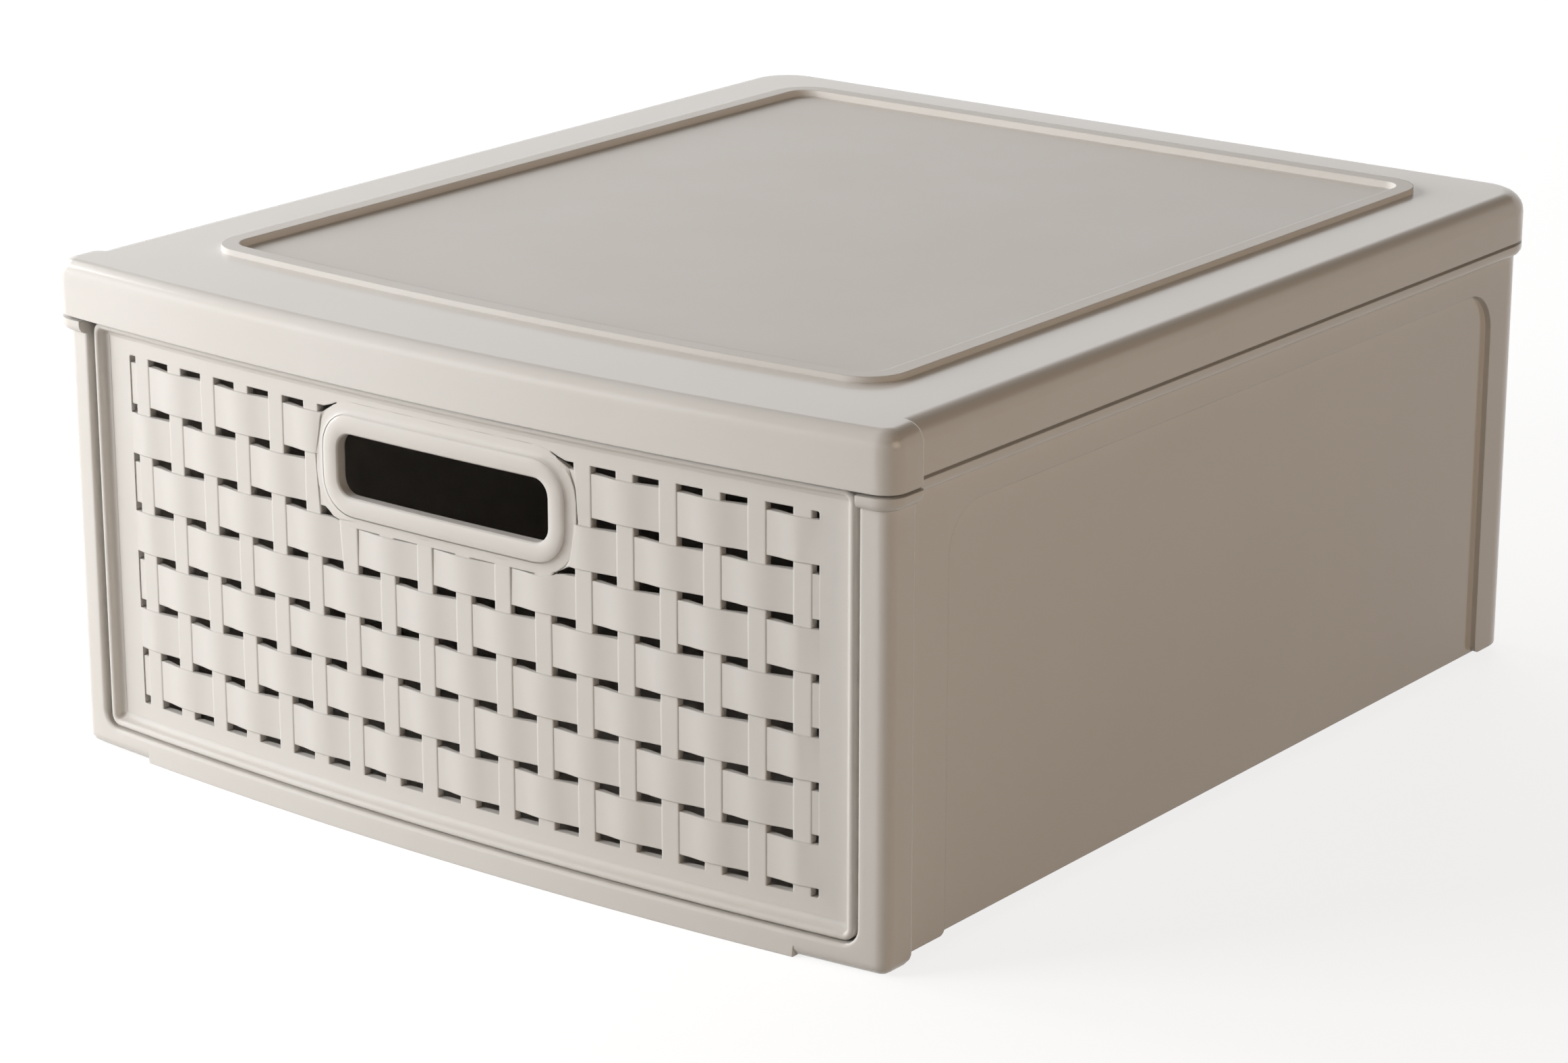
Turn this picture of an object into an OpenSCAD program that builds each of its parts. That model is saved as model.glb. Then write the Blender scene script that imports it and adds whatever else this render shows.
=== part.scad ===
/* [Overall] */
// Width over the cover's front header
box_w = 340; // [300:1:380]
// Depth from the crest of the bowed front to the rear of the cover
box_d = 395; // [340:1:450]
// Height from the feet to the top of the stacking ring
box_h = 170; // [155:1:240]
// Radius of the bowed front in plan
bow_r = 1600; // [1200:10:3000]
// Thickness of the moulded walls
wall = 2.2; // [1.8:0.1:2.8]

/* [Cover] */
// How far the front header stands out past the side rails
header_step = 2; // [1:0.1:3]
// Length of the header's side return
header_l = 25.5; // [18:0.5:40]
// Height of the header's front face
header_h = 18.5; // [15:0.5:24]
// Height of the side and rear rails
rail_h = 16.5; // [13:0.5:20]
// Plan radius of the header's front corners
header_round = 7.5; // [6.5:0.5:10]
// Rounding of the header's top edge
header_edge = 5.5; // [3:0.5:5.5]
// Rounding of the rails' top edge
rail_round = 7; // [5:0.5:10]
// Plan radius of the cover's rear corners
rear_round = 19; // [14:1:40]
// Flat width of the rails at the sides, outside the ring
rail_w = 30.6; // [24:0.2:40]
// Flat width of the rail at the rear, outside the ring
rail_w_rear = 27; // [20:0.5:40]
// Flat depth from the front's crest to the ring
rail_w_front = 41; // [34:0.5:60]
// Height of the stacking ring above the rails
ring_h = 2; // [1:0.1:3]
// Width of the ring's flat top
ring_w = 6; // [4:0.5:9]
// Plan radius of the ring's outer corners
ring_round = 14; // [10:1:30]
// Depth of the sunk panel below the rails
panel_sink = 2.3; // [1:0.1:4]

/* [Body] */
// How far the side walls sit inside the cover's rails
wall_inset = 2.6; // [2:0.1:4]
// How far the posts sit inside the cover's header
post_inset = 2.8; // [2.2:0.1:4]
// Width of a post's front face
post_w = 10.3; // [8:0.1:16]
// Rounding of the edge round the drawer's opening
post_edge = 1.2; // [0.6:0.1:2]
// Height of the collar below the seam
collar_h = 4.4; // [3:0.2:7]
// Open seam between collar and cover
seam = 1.1; // [0.5:0.1:1.6]
// Height of the side walls' lower edge above the feet
foot_h = 3.7; // [2:0.1:6]
// Height of the sill under the drawer
sill_h = 8; // [7:0.1:12]
// Thickness of the sill
sill_t = 3; // [2:0.5:6]
// Length of each rounded foot in front, measured from the opening's edge
foot_end = 22; // [10:1:40]
// Rounding of the feet's lower front edge
foot_round = 4.2; // [2:0.1:6]
// Rounding of the feet's rear lower corner
heel_round = 8; // [4:0.5:8]
// Depth of the sunk panels in the side and rear walls
recess = 2; // [1:0.1:3]
// Plan distance from the front's crest to the side panel
recess_front = 43.5; // [40:0.5:70]
// Width of the border behind the side panel
recess_rear = 29; // [29:0.5:50]
// Height of the border above the side panel, below the seam
recess_top = 14.5; // [10:0.5:40]
// Rounding of the panel's upper corners
recess_round = 15; // [6:1:25]
// Rounding of the border's lower corners beside the panel
border_round = 2.5; // [1:0.5:5]

/* [Drawer] */
// Gap between the drawer front and the posts
side_gap = 1.9; // [1:0.1:3]
// Gap above and below the drawer front
edge_gap = 0.7; // [0.5:0.1:1]
// How far the drawer's rim sits behind the sill and the posts
rim_set = 1; // [0:0.1:3]
// Height of the rim above the woven face
rim_h = 3.6; // [2:0.1:5]
// Width of the rim
rim_w = 2.4; // [1.6:0.1:4]
// Thickness of the woven front
front_t = 2.8; // [2.4:0.1:4]
// Height of the tub's walls
tub_h = 126; // [90:1:130]
// Thickness of the tub's walls
tub_t = 2; // [1.6:0.1:2.6]
// How far each side of the tub sits inside the drawer front's edge
tub_inset = 1.5; // [1.2:0.1:4]
// Gap behind the tub
rear_gap = 1.7; // [0.8:0.1:6]
// Plan radius of the tub's rear corners
tub_round = 14; // [6:1:20]
// How far the drawer slides out
travel = 300; // [150:10:300]

/* [Weave] */
// Number of upright strands
strands = 18; // [12:2:24]
// Distance from the drawer's edge to the middle of the outer strands
weave_side = 20.2; // [12:0.1:30]
// Width of a strand
strand_w = 6.5; // [3:0.1:7]
// Rounding of a strand's long edges
strand_edge = 0.7; // [0.3:0.1:1]
// Number of level strips
strips = 7; // [5:1:9]
// Distance from the drawer's upper edge to the top row of slits
weave_top = 10.6; // [9:0.1:16]
// Height of the slits between strips
slit_h = 3; // [1:0.1:4]
// Distance from the drawer's lower edge to the bottom row of slits
weave_low = 11.5; // [10:0.1:18]
// How far a strip bulges over a strand
bulge = 0.8; // [0.4:0.1:1.4]
// How far a strip dips behind the next strands
dip = 0.9; // [0.6:0.1:1.8]

/* [Finger slot] */
// Width of the opening
slot_w = 86; // [70:1:110]
// Height of the opening
slot_h = 20.5; // [16:0.5:24]
// Rounding of the opening's corners
slot_round = 5.5; // [3:0.5:8]
// Distance from the drawer's upper edge to the slot's middle
slot_drop = 27; // [24:0.5:45]
// Width of the slot's rim
slot_rim_w = 4.6; // [3:0.1:7]
// How far the slot's rim stands out past the drawer's rim
slot_rim_out = 0.3; // [0:0.1:1]

/* [Inside] */
// How deep the front takes the tub's edge
socket_l = 6; // [3:0.5:10]
// Width of the lip round the tub's top
lip_w = 1.3; // [0.8:0.1:1.6]
// Height of the lip round the tub's top
lip_h = 3; // [2:0.5:5]
// Height of the stop catches above the tub
catch_h = 9; // [6:0.5:12]
// Width of a runner rib
runner_w = 3; // [2:0.5:6]
// Height of a runner rib above the floor
runner_h = 1.6; // [1.2:0.1:3]
// Distance of each runner from the middle
runner_x = 120; // [60:1:130]
// Running gap between the drawer and its runners
run_gap = 0.3; // [0.2:0.05:0.6]
// Sideways play of the drawer on its runners
guide_gap = 0.6; // [0.3:0.1:1]
// Width of the stop ribs and of the catches that meet them
stop_w = 24; // [10:1:40]
// Play between the stacking ring and the frame under the next box
stack_gap = 1.6; // [0.8:0.1:3]
// Width of the frame under the floor
stack_w = 8; // [4:0.5:12]

/* [Hidden] */
round_fn = 48;
$fn = round_fn;
bow_fn = 960;
lap = 0.6;
seat_gap = 0.3;
fit = 0.3;
tight_r = 0.3;
case_colour = [0.74, 0.70, 0.65];
cover_colour = [0.76, 0.72, 0.68];
drawer_colour = [0.78, 0.75, 0.71];

front_y = -box_d / 2;
back_y = box_d / 2;
bow_y = front_y + bow_r;
top_z = box_h - ring_h;
header_x = box_w / 2;
rail_x = header_x - header_step;
header_end_y = front_y + header_l;
seam_z = top_z - rail_h;
header_z = top_z - header_h;

wall_x = rail_x - wall_inset;
wall_y = back_y - wall_inset;
wall_round = rear_round - wall_inset;
post_x = header_x - post_inset;
open_x = post_x - post_w;
post_top = header_z - seam;
wall_top = seam_z - seam;
inner_x = wall_x - wall;
inner_y = wall_y - wall;
lip_top = top_z - wall - seat_gap;

floor_z = sill_h - wall;
foot_x = open_x - foot_end;
foot_r = min(foot_round, header_round - post_inset - tight_r);
heel_r = min(heel_round, sill_h);
panel_top = seam_z - recess_top;

ring_x = rail_x - rail_w;
ring_y = back_y - rail_w_rear;

rim_x = open_x - side_gap;
rim_low = sill_h + edge_gap;
rim_top = header_z - edge_gap - seat_gap;
rim_inset = post_inset + rim_set;
face_in = rim_inset + rim_h;
face_back = face_in + front_t;
tub_x = rim_x - tub_inset;
tub_low = sill_h + runner_h + run_gap;
tub_top = tub_low + tub_h;
tub_y = inner_y - recess - rear_gap;
rim_round = 4;
open_round = rim_round + side_gap;
strand_pitch = 2 * (rim_x - weave_side) / (strands - 1);
slit_z = rim_low + weave_low;
strip_pitch = (rim_top - weave_top - slit_z) / strips;
slot_z = rim_top - slot_drop;
end_slit = 2.6;
end_sink = 0.05;
field_x = rim_x - weave_side + strand_w / 2 + end_slit;
tub_edge = 5;
runner_set = 4;
bow_parts = 16;
arc_parts = 8;
edge_parts = 6;
foot_parts = 4;
step_parts = 4;
edge_cuts = 3;
step_round = 2;
bracket_y = 100;
bracket_l = 5;
stop_clear = 2;
wave_steps = 6;
bead_arcs = 6;
cove_arcs = 4;
cove_r = 2.2;
fillet_step = 0.08;
skirt_t = min(tub_inset, tub_low - rim_low) - fit / 2;
slot_lip = 1.2;
slot_rim_h = rim_h + slot_rim_out;
strip_t = 2;
catch_x = tub_x - tub_round - stop_w;
bow_sag = box_w * box_w / 8 / bow_r;
field_low = slit_z - slit_h / 2;
field_top = slit_z + strips * strip_pitch + slit_h / 3;

// Angle at which a front corner of radius r meets the bow
function corner_angle(hw, inset, r) = asin((hw - r) / (bow_r - inset - r));
// Y of the centre of that corner
function corner_y(hw, inset, r) = bow_y - sqrt(pow(bow_r - inset - r, 2) - pow(hw - r, 2));
// Y of the bowed surface at a given x
function bow_at(x, inset) = bow_y - sqrt(pow(bow_r - inset, 2) - x * x);

// Everything behind the bowed front, in plan
module bow_disc(inset) {
    translate([0, bow_y]) circle(r = bow_r - inset, $fn = bow_fn);
}

// Plan outline with rounded rear corners and a square front
module tray_outline(hw, y0, y1, r) {
    translate([-hw, y0]) square([2 * hw, y1 - r - y0]);
    translate([r - hw, y0]) square([2 * (hw - r), y1 - y0]);
    for (s = [-1, 1]) translate([s * (hw - r), y1 - r]) circle(r = r);
}

// Plan outline with a bowed front and four rounded corners
module bowed_outline(hw, inset, y1, r) {
    a = corner_angle(hw, inset, r);
    cy = corner_y(hw, inset, r);
    reach = bow_r + 10;
    intersection() {
        bow_disc(inset);
        polygon([[0, bow_y], for (s = [-1, 1]) [s * reach * sin(a), bow_y - reach * cos(a)]]);
        translate([-hw, front_y - 1]) square([2 * hw, (y1 - front_y) / 2]);
    }
    translate([-hw, cy]) square([2 * hw, y1 - r - cy]);
    translate([r - hw, cy]) square([2 * (hw - r), y1 - cy]);
    for (s = [-1, 1]) {
        translate([s * (hw - r), y1 - r]) circle(r = r);
        translate([s * (hw - r), cy]) circle(r = r);
    }
}

// Sweeps a profile, x outward and y up, along both sides and the rear
module side_sweep(hw, y0, y1, r) {
    for (s = [0, 1]) mirror([s, 0, 0]) {
        translate([hw, y1 - r, 0]) rotate([90, 0, 0]) linear_extrude(y1 - r - y0) children();
        translate([hw - r, y1 - r, 0]) rotate_extrude(angle = 90) translate([r, 0]) children();
    }
    translate([r - hw, y1, 0]) rotate([90, 0, 90]) linear_extrude(2 * (hw - r)) children();
}

// Solid edge profile with a rounded top corner, its top at y = 0
module edge_profile(h, r, inward) {
    if (inward > r) translate([-inward, -h]) square([inward - r, h]);
    translate([-inward, -h]) square([inward, h - r]);
    intersection() {
        translate([-r, -r]) circle(r = r);
        translate([-r, -r]) square(r);
    }
}

// Right half of the cover's outline from x = from on the bow to the rear, anticlockwise from above.
// Each station is [x, y, normal x, normal y, top edge's rounding, inset of the body, behind the step]
function half_outline(from) = let(
    a = corner_angle(header_x, 0, header_round),
    cy = corner_y(header_x, 0, header_round),
    first = asin(from / bow_r),
    cx = header_x - header_round,
    rx = rail_x - rear_round,
    ry = back_y - rear_round
) concat(
    [for (k = [0:bow_parts]) let(t = first + (a - first) * k / bow_parts)
        [bow_r * sin(t), bow_y - bow_r * cos(t), sin(t), -cos(t), header_edge, post_inset, 0]],
    [for (k = [1:arc_parts]) let(t = a - 90 + (90 - a) * k / arc_parts)
        [cx + header_round * cos(t), cy + header_round * sin(t), cos(t), sin(t),
            header_edge, post_inset, 0]],
    [for (k = [0:step_parts]) let(t = 90 * k / step_parts, f = 1 - cos(t))
        [rail_x + header_step * cos(t), header_end_y - step_round * (1 - sin(t)), 1, 0,
            header_edge + (rail_round - header_edge) * f, post_inset + (wall_inset - post_inset) * f, 0]],
    [[rail_x, header_end_y + tight_r, 1, 0, rail_round, wall_inset, 1]],
    [for (k = [0:arc_parts]) let(t = 90 * k / arc_parts)
        [rx + rear_round * cos(t), ry + rear_round * sin(t), cos(t), sin(t), rail_round, wall_inset, 1]]
);
// The left half, in the order that closes the outline
function other_half(half, skip) = [
    for (k = [len(half) - 1:-1:skip]) let(q = half[k]) [-q[0], q[1], -q[2], q[3], q[4], q[5], q[6]]
];

// The cover's outline in plan, moved inwards
module outline_plan(inset) {
    half = half_outline(0);
    polygon([for (q = concat(half, other_half(half, 1))) [q[0] - inset * q[2], q[1] - inset * q[3]]]);
}

// Point at a station of the outline, moved inwards by d, at height z
function inset_point(q, d, z) = [q[0] - d * q[2], q[1] - d * q[3], z];

// Solid through a pile of closed rings, from the lowest to the highest
module ring_pile(rings) {
    m = len(rings[0]);
    last = len(rings) - 1;
    faces = concat(
        [[for (k = [0:m - 1]) k], [for (k = [m - 1:-1:0]) last * m + k]],
        [for (i = [0:last - 1]) for (k = [0:m - 1])
            let(a = i * m + k, b = a + m, c = (i + 1) * m + (k + 1) % m, d = i * m + (k + 1) % m)
                each [[a, b, c], [a, c, d]]]
    );
    polyhedron([for (r = rings) each r], faces);
}

// Solid block under the cover's outline, t inside it, with a rounded top edge and a flat foot
module cap_block(t, depth) {
    half = half_outline(0);
    outline = concat(half, other_half(half, 1));
    ring_pile([
        [for (q = outline) inset_point(q, t, top_z - depth)],
        for (k = [0:edge_parts]) let(v = 90 * k / edge_parts) [
            for (q = outline)
                inset_point(q, t + (q[4] - t) * (1 - cos(v)), top_z - q[4] + (q[4] - t) * sin(v))
        ]
    ]);
}

// Block of the posts and the sill, whose lower front edge is rounded only at the feet
module foot_block() {
    sill = [
        for (k = [0:bow_parts / 2]) let(t = asin(foot_x / bow_r) * 2 * k / bow_parts)
            [bow_r * sin(t), bow_y - bow_r * cos(t), sin(t), -cos(t), tight_r]
    ];
    foot = [for (q = half_outline(foot_x + tight_r)) [q[0], q[1], q[2], q[3], foot_r]];
    half = concat(sill, foot);
    left = [for (k = [len(half) - 1:-1:1]) let(q = half[k]) [-q[0], q[1], -q[2], q[3], q[4]]];
    outline = concat(half, left);
    ring_pile([
        for (k = [foot_parts:-1:0]) let(v = 90 * k / foot_parts)
            [for (q = outline) inset_point(q, post_inset + q[4] * (1 - cos(v)), q[4] * (1 - sin(v)))],
        [for (q = outline) inset_point(q, post_inset, post_top - lap)]
    ]);
}

// Ribs under the cover that stop the drawer's catches
module stops() {
    low = tub_top + stop_clear;
    for (s = [0, 1]) mirror([s, 0, 0])
        translate([catch_x - stop_w / 2, tub_y - tub_t - travel - fit - wall, low])
            cube([stop_w, wall, top_z - panel_sink - wall + lap - low]);
}

module top_cover() {
    color(cover_colour) {
        stops();
        difference() {
            union() {
                difference() {
                    cap_block(0, header_h);
                    cap_block(wall, header_h + 1);
                    // The rails are less deep than the header
                    translate([-box_w, header_end_y, header_z - 1])
                        cube([2 * box_w, box_d, seam_z - header_z + 1]);
                }
                // Ring and the tray of the sunk panel
                translate([0, 0, top_z - panel_sink - wall]) linear_extrude(ring_h + panel_sink + wall)
                    bowed_outline(ring_x, rail_w_front, ring_y, ring_round);
            }
            translate([0, 0, top_z - panel_sink]) linear_extrude(box_h)
                bowed_outline(ring_x - ring_w, rail_w_front + ring_w, ring_y - ring_w,
                    ring_round - ring_w);
        }
    }
}

// Everything beside the drawer's opening, from x on both sides
module beside(x) {
    for (s = [0, 1]) mirror([s, 0, 0]) translate([x, front_y - 1, -2]) cube([box_w, box_d, 2 * box_h]);
}

// Upright panel outline, rounded at the top, from x = a to x = b
module panel_outline(a, b, z0, z1) {
    r = recess_round;
    translate([a, z0]) square([b - a, z1 - r - z0]);
    translate([a + r, z0]) square([b - a - 2 * r, z1 - z0]);
    for (x = [a + r, b - r]) translate([x, z1 - r]) circle(r = r);
}

// Cut for a sunk panel: it runs out below, where the border beside it has rounded corners
module panel_cut(a, b) {
    r = border_round;
    panel_outline(a, b, foot_h - 1, panel_top);
    difference() {
        translate([a - r, foot_h - 1]) square([b - a + 2 * r, r + 1]);
        for (x = [a - r, b + r]) translate([x, foot_h + r]) circle(r = r);
    }
}

// Stands the outline of a side panel on both sides, its outer face at x
module at_sides(x, t) {
    for (s = [0, 1]) mirror([s, 0, 0]) translate([x - t, 0, 0]) rotate([90, 0, 90]) linear_extrude(t)
        children();
}

// Stands the outline of the rear panel at the back, its outer face at y
module at_rear(y, t) {
    translate([0, y, 0]) rotate([90, 0, 0]) linear_extrude(t) children();
}

// Side and rear walls, which end in the lip that the cover drops over, and the floor between them
module pan() {
    y0 = header_end_y - wall;
    translate([0, 0, foot_h]) linear_extrude(top_z - rail_round - fit - foot_h) difference() {
        tray_outline(wall_x, y0, wall_y, wall_round);
        tray_outline(inner_x, y0 - 1, inner_y, wall_round - wall);
    }
    translate([0, 0, floor_z]) linear_extrude(wall) intersection() {
        tray_outline(wall_x - wall / 2, front_y, wall_y - wall / 2, wall_round - wall / 2);
        bow_disc(post_inset + sill_t / 2);
    }
}

// The pan with its sunk side and rear panels
module walls() {
    y0 = front_y + recess_front;
    y1 = back_y - recess_rear;
    hw = wall_x - recess_rear;
    grow = wall + border_round;
    difference() {
        pan();
        at_sides(wall_x + 1, recess + 1) panel_cut(y0, y1);
        at_rear(wall_y + 1, recess + 1) panel_cut(-hw, hw);
    }
    at_sides(wall_x - recess, wall) panel_outline(y0 - grow, y1 + grow, foot_h, panel_top + wall);
    at_rear(wall_y - recess, wall) panel_outline(-hw - grow, hw + grow, foot_h, panel_top + wall);
}

// What the rounded edge of the drawer's opening takes off: [inward, outward]
function edge_section() = let(e = post_edge, slope = 90 / edge_cuts / 2) concat(
    [[lap, lap], [lap * tan(slope), -e - lap]],
    [for (k = [1:edge_cuts - 1]) let(v = 90 * k / edge_cuts) [e * cos(v) - e, e * sin(v) - e]],
    [[-e - lap, lap * tan(slope)]]
);

// Posts, feet and sill
module front_frame() {
    difference() {
        foot_block();
        // Behind the posts
        translate([-box_w, header_end_y, -1]) cube([2 * box_w, box_d, box_h]);
        // The feet's rear lower corners
        translate([-box_w, header_end_y - heel_r, heel_r]) rotate([90, 0, 90])
            linear_extrude(2 * box_w) difference() {
                translate([0, -heel_r - 1]) square(heel_r + 1);
                circle(r = heel_r);
            }
        // The drawer's opening
        translate([0, front_y + box_d / 2, 0]) rotate([90, 0, 0]) linear_extrude(box_d / 2 + 1)
            front_outline(open_x, sill_h, box_h, open_round);
        bead_loft(open_x, sill_h, box_h, open_round, post_inset, edge_section(), bow_parts);
        // The posts are channels, open at the rear
        intersection() {
            translate([0, 0, sill_h]) linear_extrude(post_top - lap - wall - sill_h)
                outline_plan(post_inset + wall);
            beside(open_x + wall);
        }
        // The sill is a flange and the floor meets it
        difference() {
            translate([-box_w, front_y, -1]) cube([2 * box_w, box_d, floor_z + 1]);
            translate([0, 0, -2]) linear_extrude(box_h) difference() {
                bow_disc(post_inset - 1);
                bow_disc(post_inset + sill_t);
            }
            beside(open_x);
        }
    }
}

// Ribs under the floor that stand on the cover below, round its ring
module stack_frame() {
    inner_w = ring_x + stack_gap;
    inset = rail_w_front - stack_gap - stack_w;
    linear_extrude(floor_z + lap) intersection() {
        tray_outline(inner_w + stack_w, front_y, ring_y + stack_gap + stack_w, ring_round);
        difference() {
            bow_disc(inset);
            bowed_outline(inner_w, inset + stack_w, ring_y + stack_gap, ring_round);
        }
    }
}

// Ribs that the drawer glides on
module runners() {
    y0 = bow_at(runner_x, face_back + socket_l + runner_set);
    for (s = [-1, 1]) translate([s * runner_x - runner_w / 2, y0, sill_h - lap])
        cube([runner_w, inner_y - recess - y0, runner_h + lap]);
}

// Pegs in the posts and brackets on the walls that carry the cover
module cover_seat() {
    peg_inset = header_edge + fit;
    lip_z = top_z - rail_round - fit;
    bracket_x = rail_x - rail_round - fit;
    intersection() {
        translate([0, 0, post_top - wall]) linear_extrude(lip_top - post_top + wall) intersection() {
            outline_plan(peg_inset);
            translate([-box_w, front_y]) square([2 * box_w, header_end_y - wall - front_y]);
        }
        beside(open_x);
    }
    for (s = [0, 1]) mirror([s, 0, 0]) for (y = [-bracket_y, 0, bracket_y]) {
        translate([bracket_x - bracket_l, y, wall_top - bracket_l])
            cube([wall_x - wall / 2 - bracket_x + bracket_l, wall, lip_z - wall_top + bracket_l]);
        translate([bracket_x - bracket_l, y, lip_z - lap]) cube([bracket_l, wall, lip_top - lip_z + lap]);
    }
}

// Collar under the seam: a section of [inset, height] carried along the outline
module collar() {
    half = half_outline(open_x + lap);
    path = concat(half, other_half(half, 0));
    rings = [
        for (q = path) let(g = q[5] + tight_r, z = q[6] == 1 ? wall_top : post_top, in = g + wall / 2) [
            for (p = concat(
                [[in, 0], [0, 0]],
                [for (k = [0:step_parts]) let(v = 90 * k / step_parts)
                    [g * (1 - cos(v)), g * (1 - sin(v)) - collar_h]],
                [[in, -collar_h]]
            )) [q[0] - p[0] * q[2], q[1] - p[0] * q[3], z + p[1]]
        ]
    ];
    n = len(rings[0]);
    m = len(rings);
    faces = concat(
        [[for (k = [0:n - 1]) k], [for (k = [n - 1:-1:0]) (m - 1) * n + k]],
        [for (i = [0:m - 2]) for (k = [0:n - 1])
            let(a = i * n + k, b = i * n + (k + 1) % n, c = b + n, d = a + n)
                each [[a, c, b], [a, d, c]]]
    );
    polyhedron([for (r = rings) each r], faces);
}

module body_shell() {
    color(case_colour) {
        walls();
        front_frame();
        stack_frame();
        runners();
        cover_seat();
        collar();
    }
}

// Wall of the tub with its rounded lower edge, its foot at y = 0
module tub_profile() {
    difference() {
        mirror([0, 1]) edge_profile(tub_h, tub_edge, tub_edge + lap);
        translate([-tub_t, tub_t]) mirror([0, 1]) edge_profile(tub_h, tub_edge - tub_t, tub_edge + lap);
    }
    translate([-tub_t / 2, tub_h - lip_h]) square([tub_t / 2 + lip_w, lip_h]);
}

module drawer_tub() {
    guide_x = runner_x + runner_w / 2 + guide_gap;
    guide_y = bow_at(guide_x, face_back + socket_l + 1);
    color(drawer_colour) {
        intersection() {
            union() {
                translate([0, 0, tub_low]) side_sweep(tub_x, front_y, tub_y, tub_round) tub_profile();
                translate([0, 0, tub_low]) linear_extrude(tub_t)
                    tray_outline(tub_x - tub_edge, front_y, tub_y - tub_edge, tub_round - tub_edge);
            }
            // The lip stops behind the drawer front's skirt
            translate([0, 0, -1]) linear_extrude(box_h) {
                bow_disc(face_back + socket_l + fit);
                intersection() {
                    bow_disc(face_back);
                    translate([-tub_x - tight_r, front_y]) square([2 * (tub_x + tight_r), box_d / 2]);
                }
            }
        }
        for (s = [0, 1]) mirror([s, 0, 0]) {
            // Guide ribs beside the runners
            translate([guide_x, guide_y, sill_h + guide_gap])
                cube([tub_t, tub_y - tub_round - guide_y, tub_low - sill_h - guide_gap + lap]);
            // Catches that meet the cover's stops
            translate([catch_x - stop_w / 2, tub_y - tub_t, tub_top - lip_h])
                cube([stop_w, tub_t, catch_h + lip_h]);
        }
    }
}

// Rounded front outline, seen from the front, with half width hw
module front_outline(hw, z0, z1, r) {
    translate([-hw, z0 + r]) square([2 * hw, z1 - z0 - 2 * r]);
    translate([r - hw, z0]) square([2 * (hw - r), z1 - z0]);
    for (x = [r - hw, hw - r]) for (z = [z0 + r, z1 - r]) translate([x, z]) circle(r = r);
}

// What lies between two bowed surfaces inside a front outline
module bowed_plate(a, b) {
    intersection() {
        translate([0, front_y + bow_sag + b + 1, 0]) rotate([90, 0, 0]) linear_extrude(bow_sag + b + 2)
            children();
        translate([0, 0, -1]) linear_extrude(box_h + 2) difference() {
            bow_disc(a);
            bow_disc(b);
        }
    }
}

// Stations round a front outline: share of the way to each corner's centre, and direction
function round_trip(bars, arcs) = [
    for (k = [1 - bars:2:bars - 1]) [k / bars, -1, -90],
    for (k = [0:arcs]) [1, -1, 90 * k / arcs - 90],
    for (k = [0:arcs]) [1, 1, 90 * k / arcs],
    for (k = [bars - 1:-2:1 - bars]) [k / bars, 1, 90],
    for (k = [0:arcs]) [-1, 1, 90 * k / arcs + 90],
    for (k = [0:arcs]) [-1, -1, 90 * k / arcs + 180]
];

// Sweeps a closed section round a front outline on the bow: each point is [inward, outward]
module bead_loft(hw, z0, z1, r, inset, section, bars) {
    trip = round_trip(bars, bead_arcs);
    n = len(section);
    m = len(trip);
    points = [
        for (t = trip) for (q = section)
            let(
                rr = max(r, q[0] + tight_r),
                x = t[0] * (hw - rr) + (rr - q[0]) * cos(t[2]),
                z = (z0 + z1) / 2 + t[1] * ((z1 - z0) / 2 - rr) + (rr - q[0]) * sin(t[2])
            )
                [x, bow_at(x, inset - q[1]), z]
    ];
    faces = [
        for (i = [0:m - 1]) for (k = [0:n - 1])
            let(j = (i + 1) % m * n, h = (k + 1) % n, a = i * n + k, b = i * n + h, c = j + h, d = j + k)
                each [[a, b, c], [a, c, d]]
    ];
    polyhedron(points, faces);
}

// Section points along an arc
function arc_points(cx, cy, r, a0, a1, steps) = [
    for (k = [0:steps]) let(a = a0 + (a1 - a0) * k / steps) [cx + r * cos(a), cy + r * sin(a)]
];

// Section of the drawer's rim, with a hollow fillet inside and a skirt behind
function rim_section() = concat(
    [[0, -front_t - socket_l]],
    arc_points(rim_w / 2, rim_h - rim_w / 2, rim_w / 2, 180, 0, bead_arcs),
    arc_points(rim_w + cove_r, cove_r + fillet_step, cove_r, 180, 270, cove_arcs),
    [[rim_w + cove_r, -lap], [skirt_t, -lap], [skirt_t, -front_t - socket_l]]
);

// Section of the finger slot's rim, with a hollow fillet outside
function slot_section() = concat(
    [[-cove_r, -lap]],
    arc_points(-cove_r, cove_r + fillet_step, cove_r, -90, 0, cove_arcs),
    arc_points(slot_rim_w / 2, slot_rim_h - slot_rim_w / 2, slot_rim_w / 2, 180, 0, bead_arcs),
    [[slot_rim_w, -front_t - slot_lip], [lap, -front_t - slot_lip], [lap, -lap]]
);

// How far the strip j stands out at t strands from the left
function wave(j, t) = (bulge - dip) / 2 - (bulge + dip) / 2 * cos(180 * (t - j));

// The same, but at their ends the strips stay behind the face of the plate
function strip_face(j, t) = t < 0 || t > strands - 1 ? min(wave(j, t), -end_sink) : wave(j, t);

// Plan of one woven strip
module strip_plan(j) {
    steps = wave_steps * (strands - 1);
    over = (field_x + lap) / strand_pitch - (strands - 1) / 2;
    ts = [-over, for (i = [0:steps]) i / wave_steps, strands - 1 + over];
    last = len(ts) - 1;
    front = [
        for (t = ts) let(x = (t - (strands - 1) / 2) * strand_pitch)
            [x, bow_at(x, face_in - strip_face(j, t))]
    ];
    back = [for (k = [last:-1:0]) if (k == 0 || k % 2 == 1 || k == last) front[k] + [0, strip_t]];
    polygon(concat(front, back));
}

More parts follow.
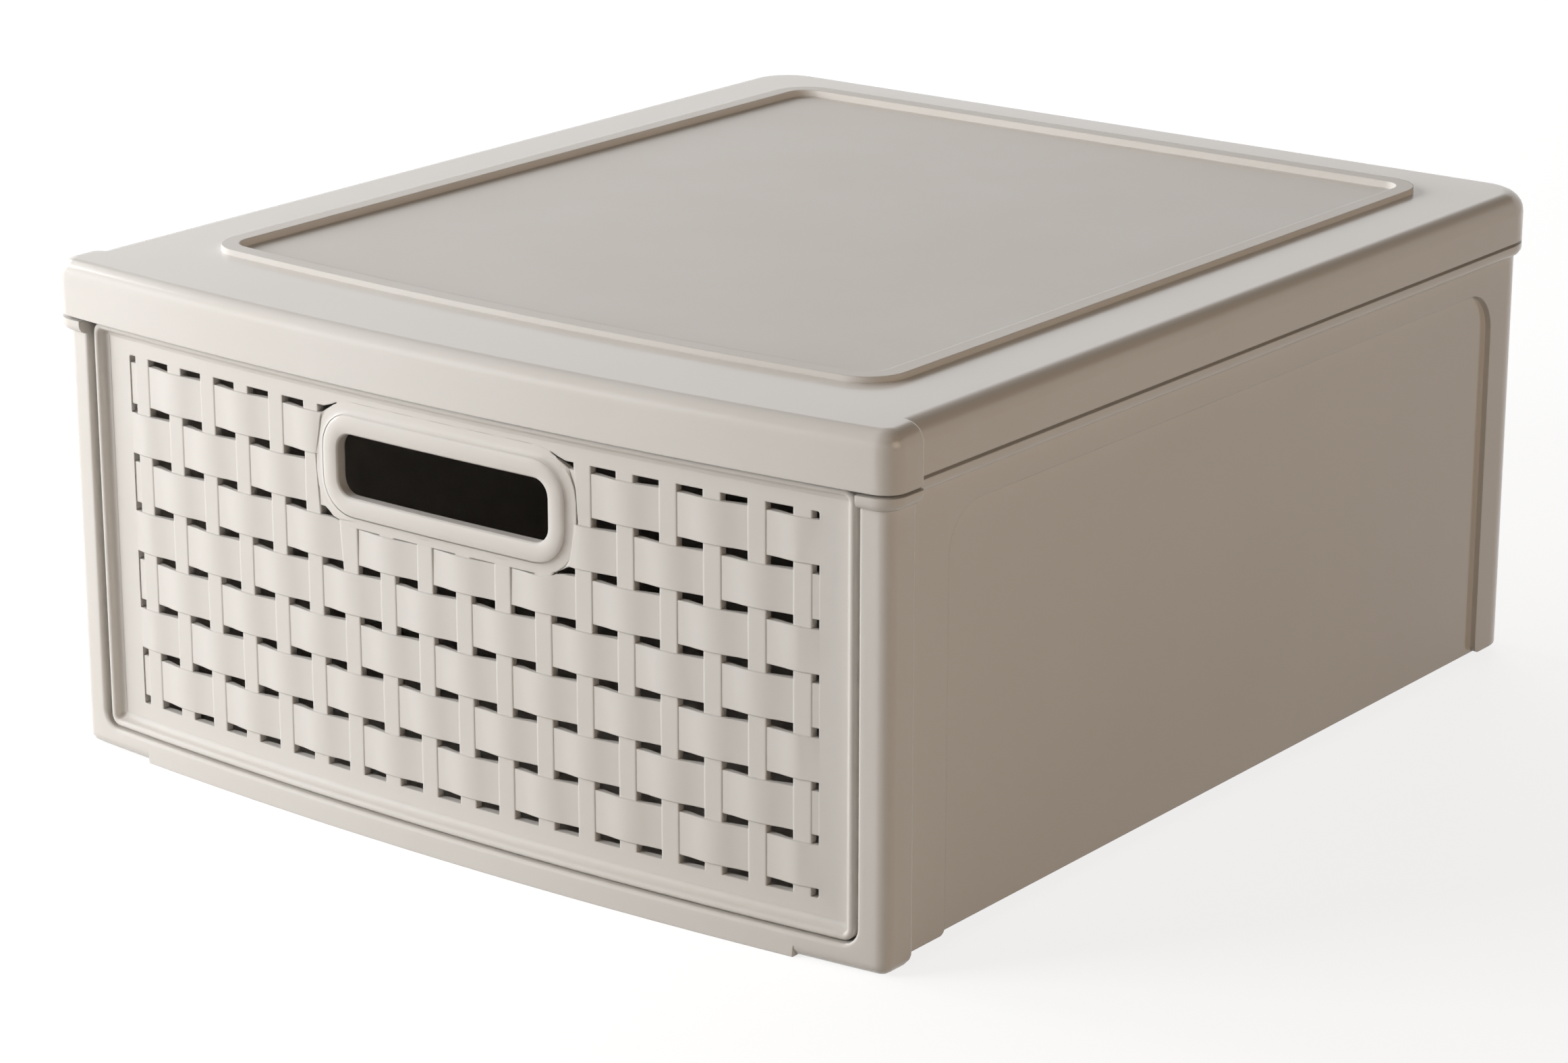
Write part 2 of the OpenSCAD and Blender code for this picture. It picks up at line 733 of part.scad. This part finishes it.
module weave() {
    for (j = [0:strips - 1]) translate([0, 0, slit_z + j * strip_pitch + slit_h / 2])
        linear_extrude(strip_pitch - slit_h) strip_plan(j);
    // Upright strands
    for (i = [0:strands - 1]) {
        x = (i - (strands - 1) / 2) * strand_pitch;
        translate([x, bow_at(x, face_in), field_low - lap]) rotate([0, 0, asin(x / bow_r)])
            linear_extrude(field_top - field_low + 2 * lap) strand_section();
    }
}

// Section of a strand with softened long edges, its face at y = 0
module strand_section() {
    r = strand_edge;
    translate([-strand_w / 2, r]) square([strand_w, front_t - r]);
    translate([r - strand_w / 2, 0]) square([strand_w - 2 * r, front_t]);
    for (x = [r - strand_w / 2, strand_w / 2 - r]) translate([x, r]) circle(r = r);
}

// Inner rib that closes the groove for the tub's edge
module socket_rib() {
    hw = tub_x - tub_t - fit / 2;
    low = tub_low + tub_t + fit / 2;
    r = tub_edge - tub_t - fit / 2;
    bowed_plate(face_back - lap, face_back + socket_l) intersection() {
        translate([-hw, low]) square([2 * hw, tub_top - lip_h - low]);
        difference() {
            front_outline(hw, low, tub_top + r, r);
            front_outline(hw - skirt_t, low + skirt_t, tub_top + tub_h, r - skirt_t);
        }
    }
}

module drawer_front() {
    sw = slot_w / 2;
    low = slot_z - slot_h / 2;
    top = slot_z + slot_h / 2;
    rw = slot_rim_w;
    mid = rw / 2;
    color(drawer_colour) {
        difference() {
            union() {
                bowed_plate(face_in, face_back) difference() {
                    front_outline(rim_x - lap, rim_low + lap, rim_top - lap, rim_round - lap);
                    front_outline(field_x, field_low, field_top, strand_edge);
                }
                weave();
            }
            bowed_plate(-1, face_back + box_d / 4)
                front_outline(sw + mid, low - mid, top + mid, slot_round + mid);
        }
        bead_loft(rim_x, rim_low, rim_top, rim_round, face_in, rim_section(), 16);
        bead_loft(sw + rw, low - rw, top + rw, slot_round + rw, face_in, slot_section(), 6);
        socket_rib();
    }
}

body_shell();
top_cover();
drawer_tub();
drawer_front();
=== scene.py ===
import math

import bmesh
import bpy
from bpy.props import FloatProperty, FloatVectorProperty, PointerProperty
from mathutils import Euler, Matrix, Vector


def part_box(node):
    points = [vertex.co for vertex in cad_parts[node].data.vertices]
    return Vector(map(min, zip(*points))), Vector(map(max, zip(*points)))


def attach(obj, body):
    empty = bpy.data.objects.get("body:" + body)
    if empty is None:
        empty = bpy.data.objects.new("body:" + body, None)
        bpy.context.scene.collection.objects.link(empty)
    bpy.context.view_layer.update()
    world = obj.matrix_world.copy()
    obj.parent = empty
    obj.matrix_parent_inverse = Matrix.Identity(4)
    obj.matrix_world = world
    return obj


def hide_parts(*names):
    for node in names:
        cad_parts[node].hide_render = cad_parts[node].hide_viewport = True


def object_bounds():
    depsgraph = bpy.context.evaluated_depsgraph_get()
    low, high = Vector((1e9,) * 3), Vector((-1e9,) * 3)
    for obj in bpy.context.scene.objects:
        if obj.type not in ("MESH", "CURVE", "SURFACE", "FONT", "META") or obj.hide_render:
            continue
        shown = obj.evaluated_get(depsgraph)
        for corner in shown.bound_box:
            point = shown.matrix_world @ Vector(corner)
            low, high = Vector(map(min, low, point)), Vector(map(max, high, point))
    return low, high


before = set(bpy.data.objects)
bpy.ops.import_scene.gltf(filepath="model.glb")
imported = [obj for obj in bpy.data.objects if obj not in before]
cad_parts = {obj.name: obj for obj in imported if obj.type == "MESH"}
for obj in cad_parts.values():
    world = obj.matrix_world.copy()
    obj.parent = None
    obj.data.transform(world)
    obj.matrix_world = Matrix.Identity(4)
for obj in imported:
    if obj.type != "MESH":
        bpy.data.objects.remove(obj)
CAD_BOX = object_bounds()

bl_info = {
    "name": "Drawer Box Studio",
    "version": (1, 0, 0),
    "blender": (4, 5, 0),
    "location": "3D View > Sidebar > Drawer Box",
    "description": "Dresses the stackable drawer box in moulded plastic and sets it in a studio",
    "category": "Object",
}

MM = 0.001

# Mesh clean-up: distance below which vertices join, and length below which an edge is dropped
WELD = 0.02 * MM
SLIVER = 0.01 * MM
# How far large faces outweigh small ones in the normals, from 1 to 100, where 50 is neutral
LARGE_FACE_WEIGHT = 80

# Finish of the plastic
PLASTIC_IOR = 1.49
USUAL_SHINE = 0.5
SHEEN_SPREAD = 0.04
FRONT_ROUGHER = 0.12
CLOUDS_FROM, CLOUDS_TO = 0.35, 0.65
BEVEL_SAMPLES = 4
CASE_GRAIN = 0.004 * MM
COVER_GRAIN = 0.003 * MM
PANEL_GRAIN = 0.014 * MM
TUB_GRAIN = 0.008 * MM
FRONT_GRAIN = 0.005 * MM

# The cover's stacking ring, and the sunk panel inside it
RING_X = 137.5 * MM
RING_FRONT = -156.6 * MM
RING_REAR = 170.6 * MM
PANEL_DEPTH = 4.3 * MM
PANEL_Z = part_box("top_cover")[1].z - PANEL_DEPTH
PANEL_LIFT = 1.7 * MM
PANEL_FLATNESS = 0.05 * MM
PANEL_MARGIN = 0.1 * MM
UNDERSIDE_NORMAL = -0.5

# The bowed front, whose relief is measured outward from its face
FRONT_LOW, FRONT_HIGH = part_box("drawer_front")
BOW_RADIUS = 1600.0 * MM
FRONT_CREST = CAD_BOX[0].y
FACE_INSET = 7.4 * MM
RELIEF_DEPTH = 4.2 * MM

# The woven field, and how its dips are drawn forward: (relief of the solid, relief shown)
FIELD_X = 140.0 * MM
FIELD_MARGIN = 9.0 * MM
FIELD_LOW = FRONT_LOW.z + FIELD_MARGIN
FIELD_HIGH = FRONT_HIGH.z - FIELD_MARGIN
DIP_STOPS = ((-2.8 * MM, -2.8 * MM), (-0.9 * MM, -0.3 * MM), (0.0, 0.0))

# The finger slot, and how its rim is spread over the weave: (distance from the slot in the solid,
# distance shown). RIM_KEPT is the share of the rim's height that is shown, and DIPS_KEPT that of the
# dips next to it
SLOT_W = 86.0 * MM
SLOT_H = 20.5 * MM
SLOT_ROUND = 5.5 * MM
SLOT_DROP = 27.0 * MM
SLOT_Z = FRONT_HIGH.z - SLOT_DROP
SLOT_EDGE = 0.01 * MM
RIM_END = 6.9 * MM
RIM_REACH = 11.0 * MM
RIM_STOPS = ((0.0, 0.0), (4.6 * MM, 6.5 * MM), (6.8 * MM, 10.2 * MM), (RIM_REACH, RIM_REACH))
RIM_KEPT = 0.5
DIPS_KEPT = 0.6

# The studio. The backdrop and ceiling are placed by the height of a direction, from -1 down to 1 up
FLOOR_HALF = 6.0
# How much of the lamps' light, and so of the shadow, the camera sees on the floor
FLOOR_SEEN = 0.30
BACKDROP_TOP = 0.36
CEILING_START = 0.50
CEILING = 0.08
LAMPS_AIM = (0.0, 0.0, 0.08)
SENSOR_WIDTH = 36.0
NEAR_CLIP, FAR_CLIP = 0.05, 50.0


# ---------------------------------------------------------------- settings

class PlasticSettings(bpy.types.PropertyGroup):
    """Colours and finish of the moulded plastic"""

    colour: FloatVectorProperty(
        name="Plastic colour", description="Colour of the warm grey moulded plastic",
        subtype="COLOR", size=3, min=0.0, max=1.0, default=(0.735, 0.705, 0.668))
    shade_colour: FloatVectorProperty(
        name="Second colour", description="Colour that the plastic drifts to in slow, faint clouds",
        subtype="COLOR", size=3, min=0.0, max=1.0, default=(0.720, 0.687, 0.646))
    satin: FloatProperty(
        name="Satin roughness", description="Roughness of the case and of the cover's header and rails",
        subtype="FACTOR", min=0.05, max=1.0, default=0.18)
    matt: FloatProperty(
        name="Matt roughness", description="Roughness of the cover's etched panel and of the tub",
        subtype="FACTOR", min=0.05, max=1.0, default=0.52)
    panel_shine: FloatProperty(
        name="Panel shine", description="Specular level of the cover's etched panel and ring",
        subtype="FACTOR", min=0.0, max=1.0, default=0.38)
    grain_size: FloatProperty(
        name="Grain size", description="Size of the etched grain",
        subtype="DISTANCE", unit="LENGTH", min=0.0001, max=0.005, default=0.0006)
    edge_radius: FloatProperty(
        name="Edge radius", description="Radius to which moulded edges look rounded",
        subtype="DISTANCE", unit="LENGTH", min=0.0, max=0.003, default=0.0006)
    smooth_angle: FloatProperty(
        name="Smooth angle", description="Edges flatter than this shade as one surface",
        subtype="ANGLE", min=0.0, max=math.pi / 2, default=math.radians(33))


class StudioSettings(bpy.types.PropertyGroup):
    """Camera, floor and lamps"""

    lens: FloatProperty(
        name="Focal length", description="Focal length on a 36 mm sensor, in millimetres",
        min=20.0, max=300.0, default=102.15)
    camera_place: FloatVectorProperty(
        name="Camera place", description="Where the camera stands",
        subtype="TRANSLATION", unit="LENGTH", size=3, default=(0.878708, -1.161501, 0.521441))
    camera_turn: FloatVectorProperty(
        name="Camera turn", description="Camera's rotation",
        subtype="EULER", unit="ROTATION", size=3,
        default=(math.radians(90 - 17.598), 0.0, math.radians(37.532)))
    near_power: FloatProperty(
        name="Near softbox", description="Power of the small softbox close to the front's left end",
        unit="POWER", min=0.0, max=500.0, default=15.0)
    left_power: FloatProperty(
        name="Left softbox", description="Power of the softbox in front at the left",
        unit="POWER", min=0.0, max=500.0, default=10.0)
    side_power: FloatProperty(
        name="Side softbox", description="Power of the large softbox beside the box at the left",
        unit="POWER", min=0.0, max=500.0, default=43.0)
    rear_power: FloatProperty(
        name="Rear softbox", description="Power of the softbox behind the box at the left",
        unit="POWER", min=0.0, max=500.0, default=16.0)
    fill_power: FloatProperty(
        name="Right fill", description="Power of the weak warm fill at the right",
        unit="POWER", min=0.0, max=500.0, default=12.0)
    lamp_colour: FloatVectorProperty(
        name="Softbox colour", description="Colour of the softboxes",
        subtype="COLOR", size=3, min=0.0, max=1.0, default=(0.99, 0.995, 1.0))
    fill_colour: FloatVectorProperty(
        name="Fill colour", description="Warm colour of the fill at the right",
        subtype="COLOR", size=3, min=0.0, max=1.0, default=(1.0, 0.79, 0.60))
    ambient: FloatProperty(
        name="Ambient light", description="Strength of the studio's even light",
        min=0.0, max=2.0, default=0.05)
    ambient_colour: FloatVectorProperty(
        name="Ambient colour", description="Colour of the studio's even light",
        subtype="COLOR", size=3, min=0.0, max=1.0, default=(1.0, 0.88, 0.76))
    floor_colour: FloatVectorProperty(
        name="Floor colour", description="Colour that the floor throws back on the object",
        subtype="COLOR", size=3, min=0.0, max=1.0, default=(0.50, 0.47, 0.43))
    floor_glow: FloatProperty(
        name="Floor paleness", description="How much of the floor's white doesn't depend on the lamps",
        subtype="FACTOR", min=0.0, max=1.0, default=0.80)


# ---------------------------------------------------------------- shader tools

def add_node(tree, kind, **values):
    """Adds a node; keys that name an input set it, and others set an attribute"""
    node = tree.nodes.new(kind)
    for key, value in values.items():
        if key in node.inputs:
            node.inputs[key].default_value = value
        else:
            setattr(node, key, value)
    return node


def grain_group():
    """Fine etched grain and faint clouds, in object space, shared by every plastic"""
    name = "moulded_grain"
    if name in bpy.data.node_groups:
        return bpy.data.node_groups[name]
    group = bpy.data.node_groups.new(name, "ShaderNodeTree")
    for label, low, high, value in (("Grain Scale", 0, 20000, 1600.0), ("Cloud Scale", 0, 200, 14.0)):
        socket = group.interface.new_socket(label, in_out="INPUT", socket_type="NodeSocketFloat")
        socket.min_value, socket.max_value, socket.default_value = low, high, value
    for label in ("Grain", "Clouds", "Handling"):
        group.interface.new_socket(label, in_out="OUTPUT", socket_type="NodeSocketFloat")
    link = group.links.new
    inside = group.nodes.new("NodeGroupInput")
    outside = group.nodes.new("NodeGroupOutput")
    place = group.nodes.new("ShaderNodeTexCoord")
    grain = add_node(group, "ShaderNodeTexNoise", Detail=2.0, Roughness=0.6)
    clouds = add_node(group, "ShaderNodeTexNoise", Detail=3.0, Roughness=0.5)
    handling = add_node(group, "ShaderNodeTexNoise", Scale=55.0, Detail=5.0, Roughness=0.65)
    for texture in (grain, clouds, handling):
        link(place.outputs["Object"], texture.inputs["Vector"])
    link(inside.outputs["Grain Scale"], grain.inputs["Scale"])
    link(inside.outputs["Cloud Scale"], clouds.inputs["Scale"])
    spread = add_node(group, "ShaderNodeMapRange")
    spread.inputs["From Min"].default_value = CLOUDS_FROM
    spread.inputs["From Max"].default_value = CLOUDS_TO
    link(clouds.outputs["Fac"], spread.inputs["Value"])
    link(grain.outputs["Fac"], outside.inputs["Grain"])
    link(spread.outputs["Result"], outside.inputs["Clouds"])
    link(handling.outputs["Fac"], outside.inputs["Handling"])
    return group


def plastic_material(name, settings, roughness, grain_depth, shine=USUAL_SHINE):
    """One moulded plastic: colour clouds, uneven sheen, fine grain and softened edges"""
    material = bpy.data.materials.new(name)
    material.use_nodes = True
    tree = material.node_tree
    link = tree.links.new
    bsdf = tree.nodes["Principled BSDF"]
    bsdf.inputs["IOR"].default_value = PLASTIC_IOR
    bsdf.inputs["Specular IOR Level"].default_value = shine
    group = tree.nodes.new("ShaderNodeGroup")
    group.node_tree = grain_group()
    group.inputs["Grain Scale"].default_value = 1.0 / settings.grain_size
    mix = add_node(tree, "ShaderNodeMix", data_type="RGBA")
    factor, first, second = (mix.inputs[k] for k in (0, 6, 7))
    first.default_value = (*settings.colour, 1.0)
    second.default_value = (*settings.shade_colour, 1.0)
    link(group.outputs["Clouds"], factor)
    link(mix.outputs[2], bsdf.inputs["Base Color"])
    sheen = add_node(tree, "ShaderNodeMapRange")
    sheen.inputs["To Min"].default_value = roughness - SHEEN_SPREAD
    sheen.inputs["To Max"].default_value = roughness + SHEEN_SPREAD
    link(group.outputs["Handling"], sheen.inputs["Value"])
    link(sheen.outputs["Result"], bsdf.inputs["Roughness"])
    edges = add_node(tree, "ShaderNodeBevel", samples=BEVEL_SAMPLES, Radius=settings.edge_radius)
    bump = add_node(tree, "ShaderNodeBump", Strength=1.0, Distance=grain_depth)
    link(edges.outputs["Normal"], bump.inputs["Normal"])
    link(group.outputs["Grain"], bump.inputs["Height"])
    link(bump.outputs["Normal"], bsdf.inputs["Normal"])
    return material


# ---------------------------------------------------------------- pieces

def dressed_piece(name, node, body, smooth_angle, materials, pick=None, refine=None):
    """Smooth, welded copy of a CAD node: pick gives a face's material, and refine moves a vertex"""
    mesh = bpy.data.meshes.new(name)
    work = bmesh.new()
    work.from_mesh(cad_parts[node].data)
    bmesh.ops.remove_doubles(work, verts=work.verts, dist=WELD)
    bmesh.ops.dissolve_degenerate(work, edges=work.edges, dist=SLIVER)
    bmesh.ops.recalc_face_normals(work, faces=work.faces)
    if refine:
        for vertex in work.verts:
            vertex.co = refine(vertex.co)
    work.to_mesh(mesh)
    work.free()
    if "custom_normal" in mesh.attributes:
        mesh.attributes.remove(mesh.attributes["custom_normal"])
    mesh.shade_smooth()
    mesh.set_sharp_from_angle(angle=smooth_angle)
    for material in materials:
        mesh.materials.append(material)
    for face in mesh.polygons:
        face.material_index = pick(face) if pick else 0
    if not mesh.polygons:
        raise RuntimeError(f"{node} gave no faces")
    piece = bpy.data.objects.new(name, mesh)
    bpy.context.collection.objects.link(piece)
    weights = piece.modifiers.new("even_normals", "WEIGHTED_NORMAL")
    weights.keep_sharp = True
    weights.mode = "FACE_AREA"
    weights.weight = LARGE_FACE_WEIGHT
    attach(piece, body)
    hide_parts(node)


class BOX_OT_case(bpy.types.Operator):
    """Dress the case: posts, feet, sill, walls and floor"""

    bl_idname = "drawer_box.case"
    bl_label = "Dress Case"

    def execute(self, context):
        plastic = context.scene.drawer_box_plastic
        satin = plastic_material("case_satin_plastic", plastic, plastic.satin, CASE_GRAIN)
        dressed_piece("case_shell", "body_shell", "case", plastic.smooth_angle, (satin,))
        return {"FINISHED"}


def raised_panel(co):
    """Lifts the cover's sunk panel, which is moulded a little higher than its solid"""
    if abs(co.z - PANEL_Z) < PANEL_FLATNESS:
        return Vector((co.x, co.y, co.z + PANEL_LIFT))
    return co


def etched(face):
    """Material index of a face of the cover: 1 on the ring and all inside it, which are etched"""
    inside = abs(face.center.x) < RING_X and RING_FRONT < face.center.y < RING_REAR
    on_top = face.center.z > PANEL_Z - PANEL_MARGIN and face.normal.z > UNDERSIDE_NORMAL
    return int(inside and on_top)


class BOX_OT_cover(bpy.types.Operator):
    """Dress the top cover with its header, rails, stacking ring and etched panel"""

    bl_idname = "drawer_box.cover"
    bl_label = "Dress Cover"

    def execute(self, context):
        plastic = context.scene.drawer_box_plastic
        satin = plastic_material("cover_satin_plastic", plastic, plastic.satin, COVER_GRAIN)
        matt = plastic_material("cover_panel_plastic", plastic, plastic.matt, PANEL_GRAIN,
                                shine=plastic.panel_shine)
        dressed_piece("cover", "top_cover", "case", plastic.smooth_angle, (satin, matt),
                      pick=etched, refine=raised_panel)
        return {"FINISHED"}


class BOX_OT_tub(bpy.types.Operator):
    """Dress the drawer's tub"""

    bl_idname = "drawer_box.tub"
    bl_label = "Dress Tub"

    def execute(self, context):
        plastic = context.scene.drawer_box_plastic
        matt = plastic_material("tub_plastic", plastic, plastic.matt, TUB_GRAIN)
        dressed_piece("tub", "drawer_tub", "drawer", plastic.smooth_angle, (matt,))
        return {"FINISHED"}


def along(value, stops):
    """Value carried along straight stretches between the stops (from, to)"""
    if value <= stops[0][0]:
        return value + stops[0][1] - stops[0][0]
    for (a0, b0), (a1, b1) in zip(stops, stops[1:]):
        if value <= a1:
            return b0 + (value - a0) * (b1 - b0) / (a1 - a0)
    return value + stops[-1][1] - stops[-1][0]


def past_slot(side, rise):
    """Distance outside the finger slot's rounded opening, negative inside it"""
    corner = math.hypot(max(side, 0.0), max(rise, 0.0))
    return corner + min(max(side, rise), 0.0) - SLOT_ROUND


def softer_relief(co):
    """Draws the weave's dips forward, and spreads and flattens the slot's rim over the weave by it"""
    face_radius = BOW_RADIUS - FACE_INSET
    middle_y = FRONT_CREST + BOW_RADIUS
    relief = math.hypot(co.x, co.y - middle_y) - face_radius
    if relief < -RELIEF_DEPTH:
        return co
    x, z = co.x, co.z
    side = abs(x) - (SLOT_W / 2 - SLOT_ROUND)
    rise = abs(z - SLOT_Z) - (SLOT_H / 2 - SLOT_ROUND)
    from_slot = past_slot(side, rise)
    if from_slot < RIM_REACH:
        if from_slot > SLOT_EDGE and max(side, rise) > 0.0:
            size = math.hypot(max(side, 0.0), max(rise, 0.0))
            shift = (along(from_slot, RIM_STOPS) - from_slot) / size
            x += math.copysign(max(side, 0.0) * shift, x)
            z += math.copysign(max(rise, 0.0) * shift, z - SLOT_Z)
        if relief > 0.0 and from_slot < RIM_END:
            relief *= RIM_KEPT
        elif relief < 0.0:
            share = min(max((from_slot - RIM_END) / (RIM_REACH - RIM_END), 0.0), 1.0)
            relief *= DIPS_KEPT + (1.0 - DIPS_KEPT) * share
    elif abs(x) < FIELD_X and FIELD_LOW < z < FIELD_HIGH:
        relief = along(relief, DIP_STOPS)
    radius = face_radius + relief
    return Vector((x, middle_y - math.sqrt(radius * radius - x * x), z))


class BOX_OT_front(bpy.types.Operator):
    """Dress the woven drawer front"""

    bl_idname = "drawer_box.front"
    bl_label = "Dress Woven Front"

    def execute(self, context):
        plastic = context.scene.drawer_box_plastic
        woven = plastic_material("woven_front_plastic", plastic, plastic.satin + FRONT_ROUGHER, FRONT_GRAIN)
        dressed_piece("woven_front", "drawer_front", "drawer", plastic.smooth_angle,
                      (woven,), refine=softer_relief)
        return {"FINISHED"}


# ---------------------------------------------------------------- studio

def seen_ray(tree):
    """Factor that is 1 where the camera, a reflection or glass looks, and 0 for light on the object"""
    path = tree.nodes.new("ShaderNodeLightPath")
    first = add_node(tree, "ShaderNodeMath", operation="MAXIMUM")
    second = add_node(tree, "ShaderNodeMath", operation="MAXIMUM")
    tree.links.new(path.outputs["Is Camera Ray"], first.inputs[0])
    tree.links.new(path.outputs["Is Glossy Ray"], first.inputs[1])
    tree.links.new(first.outputs["Value"], second.inputs[0])
    tree.links.new(path.outputs["Is Transmission Ray"], second.inputs[1])
    return second.outputs["Value"]


def floor_material(glow, colour):
    """Pale floor that is seen as white and that keeps the object's shadow"""
    material = bpy.data.materials.new("studio_floor")
    material.use_nodes = True
    tree = material.node_tree
    link = tree.links.new
    tree.nodes.clear()
    out = tree.nodes.new("ShaderNodeOutputMaterial")
    plain = add_node(tree, "ShaderNodeBsdfDiffuse", Color=(*colour, 1.0))
    shadowed = add_node(tree, "ShaderNodeBsdfDiffuse", Color=(FLOOR_SEEN, FLOOR_SEEN, FLOOR_SEEN, 1.0))
    white = add_node(tree, "ShaderNodeEmission", Strength=glow)
    seen = tree.nodes.new("ShaderNodeAddShader")
    mix = tree.nodes.new("ShaderNodeMixShader")
    link(shadowed.outputs["BSDF"], seen.inputs[0])
    link(white.outputs["Emission"], seen.inputs[1])
    link(seen_ray(tree), mix.inputs["Fac"])
    link(plain.outputs["BSDF"], mix.inputs[1])
    link(seen.outputs["Shader"], mix.inputs[2])
    link(mix.outputs["Shader"], out.inputs["Surface"])
    return material


def studio_world(ambient, colour):
    """Even studio light; the camera sees white, and reflections see a white backdrop under a dim ceiling"""
    world = bpy.data.worlds.new("studio_world")
    world.use_nodes = True
    tree = world.node_tree
    link = tree.links.new
    tree.nodes.clear()
    out = tree.nodes.new("ShaderNodeOutputWorld")
    even = add_node(tree, "ShaderNodeBackground", Color=(*colour, 1.0), Strength=ambient)
    seen = add_node(tree, "ShaderNodeBackground", Color=(1.0, 1.0, 1.0, 1.0))
    mix = tree.nodes.new("ShaderNodeMixShader")
    place = tree.nodes.new("ShaderNodeTexCoord")
    axes = tree.nodes.new("ShaderNodeSeparateXYZ")
    height = tree.nodes.new("ShaderNodeMapRange")
    path = tree.nodes.new("ShaderNodeLightPath")
    strength = add_node(tree, "ShaderNodeMath", operation="MAXIMUM")
    stops = {"From Min": BACKDROP_TOP, "From Max": CEILING_START, "To Min": 1.0, "To Max": CEILING}
    for name, value in stops.items():
        height.inputs[name].default_value = value
    link(place.outputs["Generated"], axes.inputs["Vector"])
    link(axes.outputs["Z"], height.inputs["Value"])
    link(height.outputs["Result"], strength.inputs[0])
    link(path.outputs["Is Camera Ray"], strength.inputs[1])
    link(strength.outputs["Value"], seen.inputs["Strength"])
    link(seen_ray(tree), mix.inputs["Fac"])
    link(even.outputs["Background"], mix.inputs[1])
    link(seen.outputs["Background"], mix.inputs[2])
    link(mix.outputs["Shader"], out.inputs["Surface"])
    return world


def softbox(name, place, size, power, colour, mirrored):
    """Square area lamp that looks at the box; reflections show it if it is mirrored"""
    data = bpy.data.lights.new(name, "AREA")
    data.size = size
    data.energy = power
    data.color = colour
    lamp = bpy.data.objects.new(name, data)
    lamp.location = place
    lamp.visible_glossy = mirrored
    lamp.rotation_euler = (Vector(LAMPS_AIM) - Vector(place)).to_track_quat("-Z", "Y").to_euler()
    bpy.context.collection.objects.link(lamp)


def lamps(studio):
    """Name, place, size, power and colour of each softbox, and whether reflections show it"""
    colour = studio.lamp_colour
    return (
        ("near_softbox", (-0.85, -1.15, 0.6), 0.7, studio.near_power, colour, False),
        ("left_softbox", (-1.9, -1.1, 0.6), 0.8, studio.left_power, colour, False),
        ("side_softbox", (-2.4, -0.1, 1.0), 1.5, studio.side_power, colour, True),
        ("rear_softbox", (-1.2, 1.7, 1.2), 1.5, studio.rear_power, colour, False),
        ("right_fill", (2.2, -0.3, 0.9), 1.2, studio.fill_power, studio.fill_colour, True),
    )


class BOX_OT_studio(bpy.types.Operator):
    """Set up the floor, the softboxes, the world and the camera"""

    bl_idname = "drawer_box.studio"
    bl_label = "Set Up Studio"

    def execute(self, context):
        studio = context.scene.drawer_box_studio
        mesh = bpy.data.meshes.new("studio_floor")
        half = FLOOR_HALF
        corners = [(-half, -half, 0), (half, -half, 0), (half, half, 0), (-half, half, 0)]
        mesh.from_pydata(corners, [], [(0, 1, 2, 3)])
        floor = bpy.data.objects.new("studio_floor", mesh)
        floor.data.materials.append(floor_material(studio.floor_glow, studio.floor_colour))
        context.collection.objects.link(floor)
        context.scene.world = studio_world(studio.ambient, studio.ambient_colour)

        for lamp in lamps(studio):
            softbox(*lamp)

        camera = bpy.data.objects.new("studio_camera", bpy.data.cameras.new("studio_camera"))
        camera.data.sensor_width = SENSOR_WIDTH
        camera.data.lens = studio.lens
        camera.data.clip_start, camera.data.clip_end = NEAR_CLIP, FAR_CLIP
        camera.location = studio.camera_place
        camera.rotation_euler = Euler(studio.camera_turn)
        context.collection.objects.link(camera)
        context.scene.camera = camera
        context.scene.view_settings.view_transform = "Standard"
        return {"FINISHED"}


class BOX_PT_panel(bpy.types.Panel):
    """Lists the box's pieces and their settings"""

    bl_idname = "BOX_PT_panel"
    bl_label = "Drawer Box"
    bl_space_type = "VIEW_3D"
    bl_region_type = "UI"
    bl_category = "Drawer Box"

    def draw(self, context):
        layout = self.layout
        for settings in (context.scene.drawer_box_plastic, context.scene.drawer_box_studio):
            column = layout.column(align=True)
            for key in settings.__annotations__:
                column.prop(settings, key)
        for operator in OPERATORS:
            layout.operator(operator.bl_idname)


OPERATORS = (BOX_OT_case, BOX_OT_cover, BOX_OT_tub, BOX_OT_front, BOX_OT_studio)
CLASSES = (PlasticSettings, StudioSettings, *OPERATORS, BOX_PT_panel)


def register():
    """Adds the classes and the scene's two groups of settings"""
    for cls in CLASSES:
        bpy.utils.register_class(cls)
    bpy.types.Scene.drawer_box_plastic = PointerProperty(type=PlasticSettings)
    bpy.types.Scene.drawer_box_studio = PointerProperty(type=StudioSettings)


def unregister():
    """Takes them away again"""
    del bpy.types.Scene.drawer_box_studio
    del bpy.types.Scene.drawer_box_plastic
    for cls in reversed(CLASSES):
        bpy.utils.unregister_class(cls)


def main():
    """Dresses every piece and sets up the studio"""
    register()
    bpy.ops.drawer_box.case()
    bpy.ops.drawer_box.cover()
    bpy.ops.drawer_box.tub()
    bpy.ops.drawer_box.front()
    bpy.ops.drawer_box.studio()


if __name__ == "__main__":
    main()
